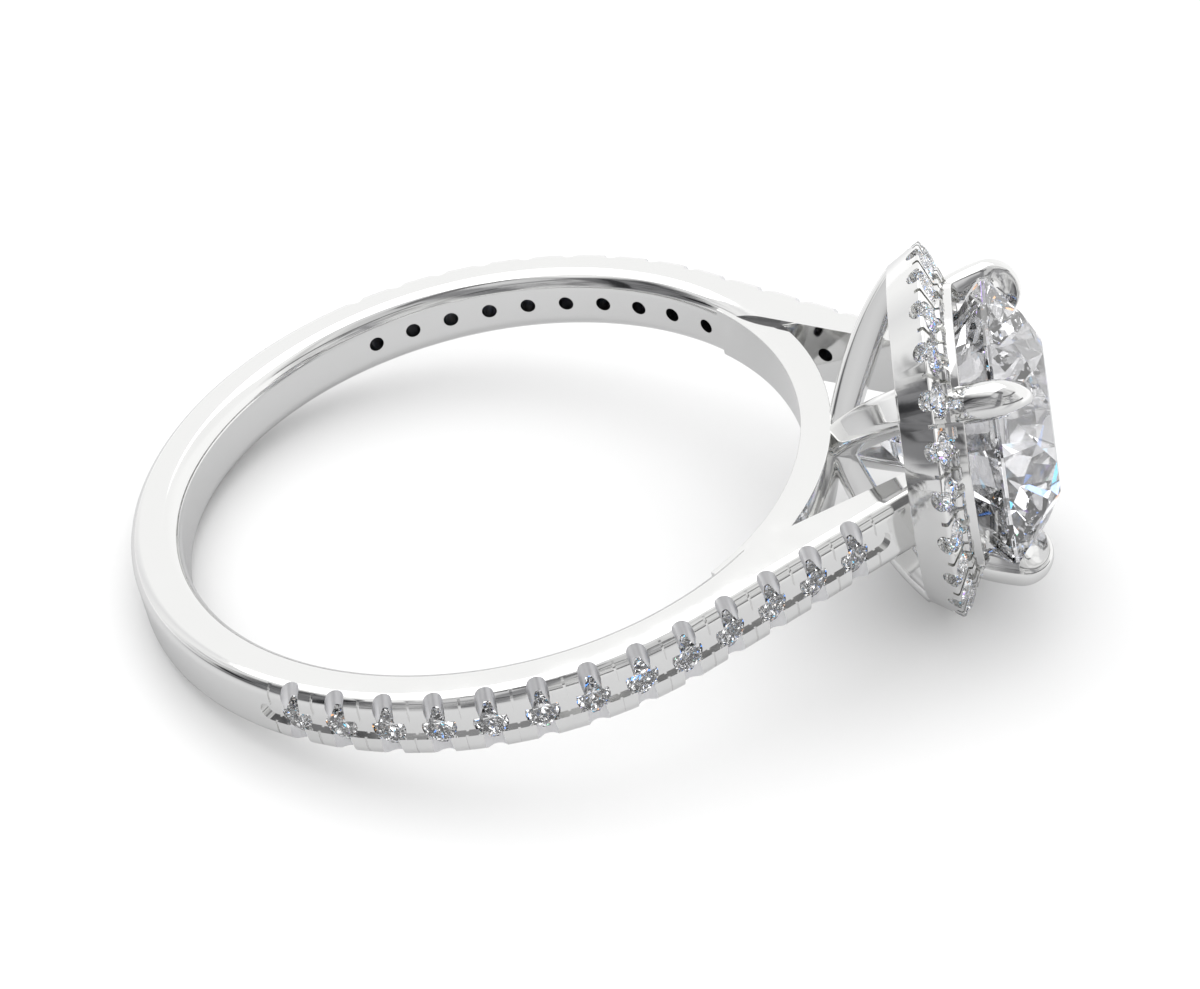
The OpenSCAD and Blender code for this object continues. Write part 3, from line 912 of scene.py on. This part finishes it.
def claw_outline(width, depth):
    """The claw's outline: a half-round back, and flanks that end at a softened inner side."""
    rise = claw_dome * width / claw_w
    inner = 0.44 * claw_w
    back = [
        (rise * (math.cos(t) - 1), width / 2 * math.sin(t))
        for t in (math.pi * (k / 24 - 0.5) for k in range(25))
    ]
    flank = [
        (-rise - (depth - 0.07 - rise) * q, width / 2 + (inner - width / 2) * q**3)
        for q in (k / 6 for k in range(1, 7))
    ]
    flank += [(0.02 - depth, inner - 0.02), (-depth, inner - 0.07)]
    return back + flank + [(d, -h) for d, h in reversed(flank)]


def claw(turn):
    """One claw at that angle round the head."""
    c, s = math.cos(turn), math.sin(turn)
    rings = []
    for point, angle, width, depth in claw_rows:
        ring = []
        for out, side in claw_outline(width, depth):
            h, r = point[0] - out * math.sin(angle), point[1] + out * math.cos(angle)
            ring.append((h, r * c - side * s, r * s + side * c))
        rings.append(ring)
    return sweep("claw", rings)


# %% [markdown]
# ## Solder the pieces together
# Before the parts meet, the open middle of the halo is cleared from the arms
# and straps. The claws are added, and the large stone's own space is cut from
# them, so that they grip it with a hair's breadth of air.

# %% Join the metal
clear_h, clear_r = lip_h - 0.004, collar_in_r + 0.02
clear = [(0, clear_h), (clear_r, clear_h), (clear_r, 15), (0, 15)]
work_on(band, turned("open middle", clear, head=True))
metal_piece = band
metal_piece.name = "polished_mounting"
work_on(metal_piece, bridge, "UNION")
corners = [math.radians(45 + 90 * k) for k in range(4)]
basket = strap(corners[0])
for turn in corners[1:]:
    work_on(basket, strap(turn), "UNION")
work_on(basket, turned("open middle", clear, head=True))
work_on(metal_piece, basket, "UNION")
work_on(metal_piece, tray, "UNION")
for turn in corners:
    work_on(metal_piece, claw(turn), "UNION")

# %% Cut the large stone's space
space = [
    (0, girdle_h - centre_d * 0.44 - 2 * stone_gap),
    (centre_r + stone_gap, girdle_h - centre_d * 0.01 - stone_gap),
    (centre_r + stone_gap, girdle_h + centre_d * 0.01 + stone_gap),
    (centre_r * table_share + stone_gap, girdle_h + table_rise + stone_gap),
    (0, girdle_h + table_rise + stone_gap),
]
work_on(metal_piece, turned("stone space", space, head=True))

# %% [markdown]
# ## Smooth where it is curved, sharp where it is cut
# The drilled holes get a painted shade and the bur's cuts a finish of their
# own, so their faces are found first, by their distance from the tools' axes.
# Then every face is shaded smooth, and edges steeper than 28 degrees are marked sharp.
# Weighted normals keep the large flat faces flat beside their rounded edges.

# %% Find the faces that a drill or a bur left
near_tool, off_wall, most_tilt = 2, 0.012, 0.2


def cut_by(face):
    """The finish of one face: polished, drilled and painted dark as hole shade, or cut with a
    bur.
    """
    if abs(face.center.z) > band_w / 2 or face.center.x > back_h:
        return POLISHED
    for place, way, r, finish_or_shade in cut_lines:
        out = face.center - place
        if out.length < near_tool and abs(face.normal.dot(way)) < most_tilt:
            if abs((out - way * out.dot(way)).length - r) < off_wall:
                return finish_or_shade
    return POLISHED


face_finish_or_shade = [cut_by(face) for face in metal_piece.data.polygons]
print("faces drilled:", face_finish_or_shade.count(DRILLED_SHADE), "cut with a bur:", face_finish_or_shade.count(BUR_CUT))

# %% Lay the metal down and shade it
sharp = math.radians(28)
metal_piece.data.transform(lay_down)
skin = bmesh.new()
skin.from_mesh(metal_piece.data)
for face in skin.faces:
    face.smooth = True
for edge in skin.edges:
    edge.smooth = len(edge.link_faces) == 2 and edge.calc_face_angle(0) < sharp
open_edges = sum(not edge.is_manifold for edge in skin.edges)
skin.to_mesh(metal_piece.data)
skin.free()
weights = metal_piece.modifiers.new("weighted normals", "WEIGHTED_NORMAL")
weights.keep_sharp = True
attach(metal_piece, "root")
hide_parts("mounting")
print("metal:", len(metal_piece.data.polygons), "faces,", open_edges, "open edges")

# %% [markdown]
# ## White gold
# The metal is white gold that was cast, polished to a mirror and plated with
# rhodium. It mirrors about four fifths of the light with almost no tint. The
# polishing wheel leaves faint waves a millimetre or so wide and uneven gloss,
# which a noise of that size brings to both the gloss and the normals.

# %% Mix the polished metal
wheel_mark = 1.2 * MM
white_gold, tree = blank_material("rhodium plated white gold")
spot = add(tree, "ShaderNodeTexCoord").outputs["Object"]
wheel_noise = {"Vector": spot, "Scale": 1 / wheel_mark, "Detail": 3.0}
wheel = add(tree, "ShaderNodeTexNoise", wheel_noise).outputs["Fac"]
gloss_range = {
    "Value": wheel, "From Min": 0.3, "From Max": 0.7, "To Min": 0.05, "To Max": 0.11,
}
gloss = add(tree, "ShaderNodeMapRange", gloss_range).outputs["Result"]
wave = {"Height": wheel, "Strength": 0.04, "Distance": 0.1 * MM}
waves = add(tree, "ShaderNodeBump", wave).outputs["Normal"]
mirror = {
    "Base Color": linear("#EDEDEC"), "Metallic": 1.0, "Roughness": gloss, "Normal": waves,
}
metal = add(tree, "ShaderNodeBsdfPrincipled", mirror)
add(tree, "ShaderNodeOutputMaterial", {"Surface": metal.outputs[0]})

# %% [markdown]
# ## Drilled holes painted dark, and bur cut gold
# A drill leaves the walls of its holes dull, and no polishing wheel reaches
# them, so they are rough; their near-black colour is painted shade for the
# dark inside the narrow holes. A setter's bur leaves a fine satin grain,
# which shows one soft grey where a mirror would show stripes. The same
# function mixes both, with another grey and roughness.

# %% Mix the cut metal
grain_size = 0.08 * MM


def dull_metal_or_hole_shade(name, colour, roughness):
    """Metal that is no mirror and shows one soft grey; near-black, it is painted hole shade."""
    material, tree = blank_material(name)
    spot = add(tree, "ShaderNodeTexCoord").outputs["Object"]
    grain_noise = {"Vector": spot, "Scale": 1 / grain_size}
    grain = add(tree, "ShaderNodeTexNoise", grain_noise).outputs["Fac"]
    mark = {"Height": grain, "Strength": 0.05, "Distance": 0.01 * MM}
    marks = add(tree, "ShaderNodeBump", mark).outputs["Normal"]
    dull = {
        "Base Color": linear(colour), "Metallic": 1.0, "Roughness": roughness, "Normal": marks,
    }
    metal = add(tree, "ShaderNodeBsdfPrincipled", dull)
    add(tree, "ShaderNodeOutputMaterial", {"Surface": metal.outputs[0]})
    return material


# the near-black colour of the drilled holes is painted shade for the dark inside them
hole_shade = dull_metal_or_hole_shade("drilled white gold with painted hole shade", "#48484A", 0.5)
bur_cut = dull_metal_or_hole_shade("bur cut white gold", "#F4F4F5", 0.34)

# %% [markdown]
# ## Diamond
# The stones are colourless diamonds, cut and polished flat on every facet.
# Diamond bends light more than any other gem, with an index of 2.42, so most
# of what enters a facet comes back to the eye. Light goes a long way through
# the large stone, which keeps a little more of it, so its colour is a light
# grey while the small stones are white.

# %% Mix the diamonds


def diamond(name, colour):
    """A polished diamond of that body colour."""
    material, tree = blank_material(name)
    clear = {
        "Base Color": linear(colour), "Roughness": 0.0, "IOR": 2.417, "Transmission Weight": 1.0,
    }
    stone = add(tree, "ShaderNodeBsdfPrincipled", clear)
    add(tree, "ShaderNodeOutputMaterial", {"Surface": stone.outputs[0]})
    return material


small_diamond = diamond("colourless diamond", "#FFFFFF")
large_diamond = diamond("colourless diamond, large", "#E0E0E2")

# %% [markdown]
# ## Put the finishes on
# Each stone is a node of the imported model and gets its diamond. The metal gets
# its two finishes and the painted shade of its drilled holes, and each face the one that was
# noted for it.

# %% Dress the nodes
for name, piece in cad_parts.items():
    if name != "mounting":
        piece.data.materials.clear()
        piece.data.materials.append(large_diamond if name == "centre_stone" else small_diamond)
metal_piece.data.materials.clear()
for material in (white_gold, hole_shade, bur_cut):
    metal_piece.data.materials.append(material)
# the drilled faces get the material that paints shade inside the holes
for face, finish_or_shade in zip(metal_piece.data.polygons, face_finish_or_shade):
    face.material_index = finish_or_shade
print("dressed:", len(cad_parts), "nodes")
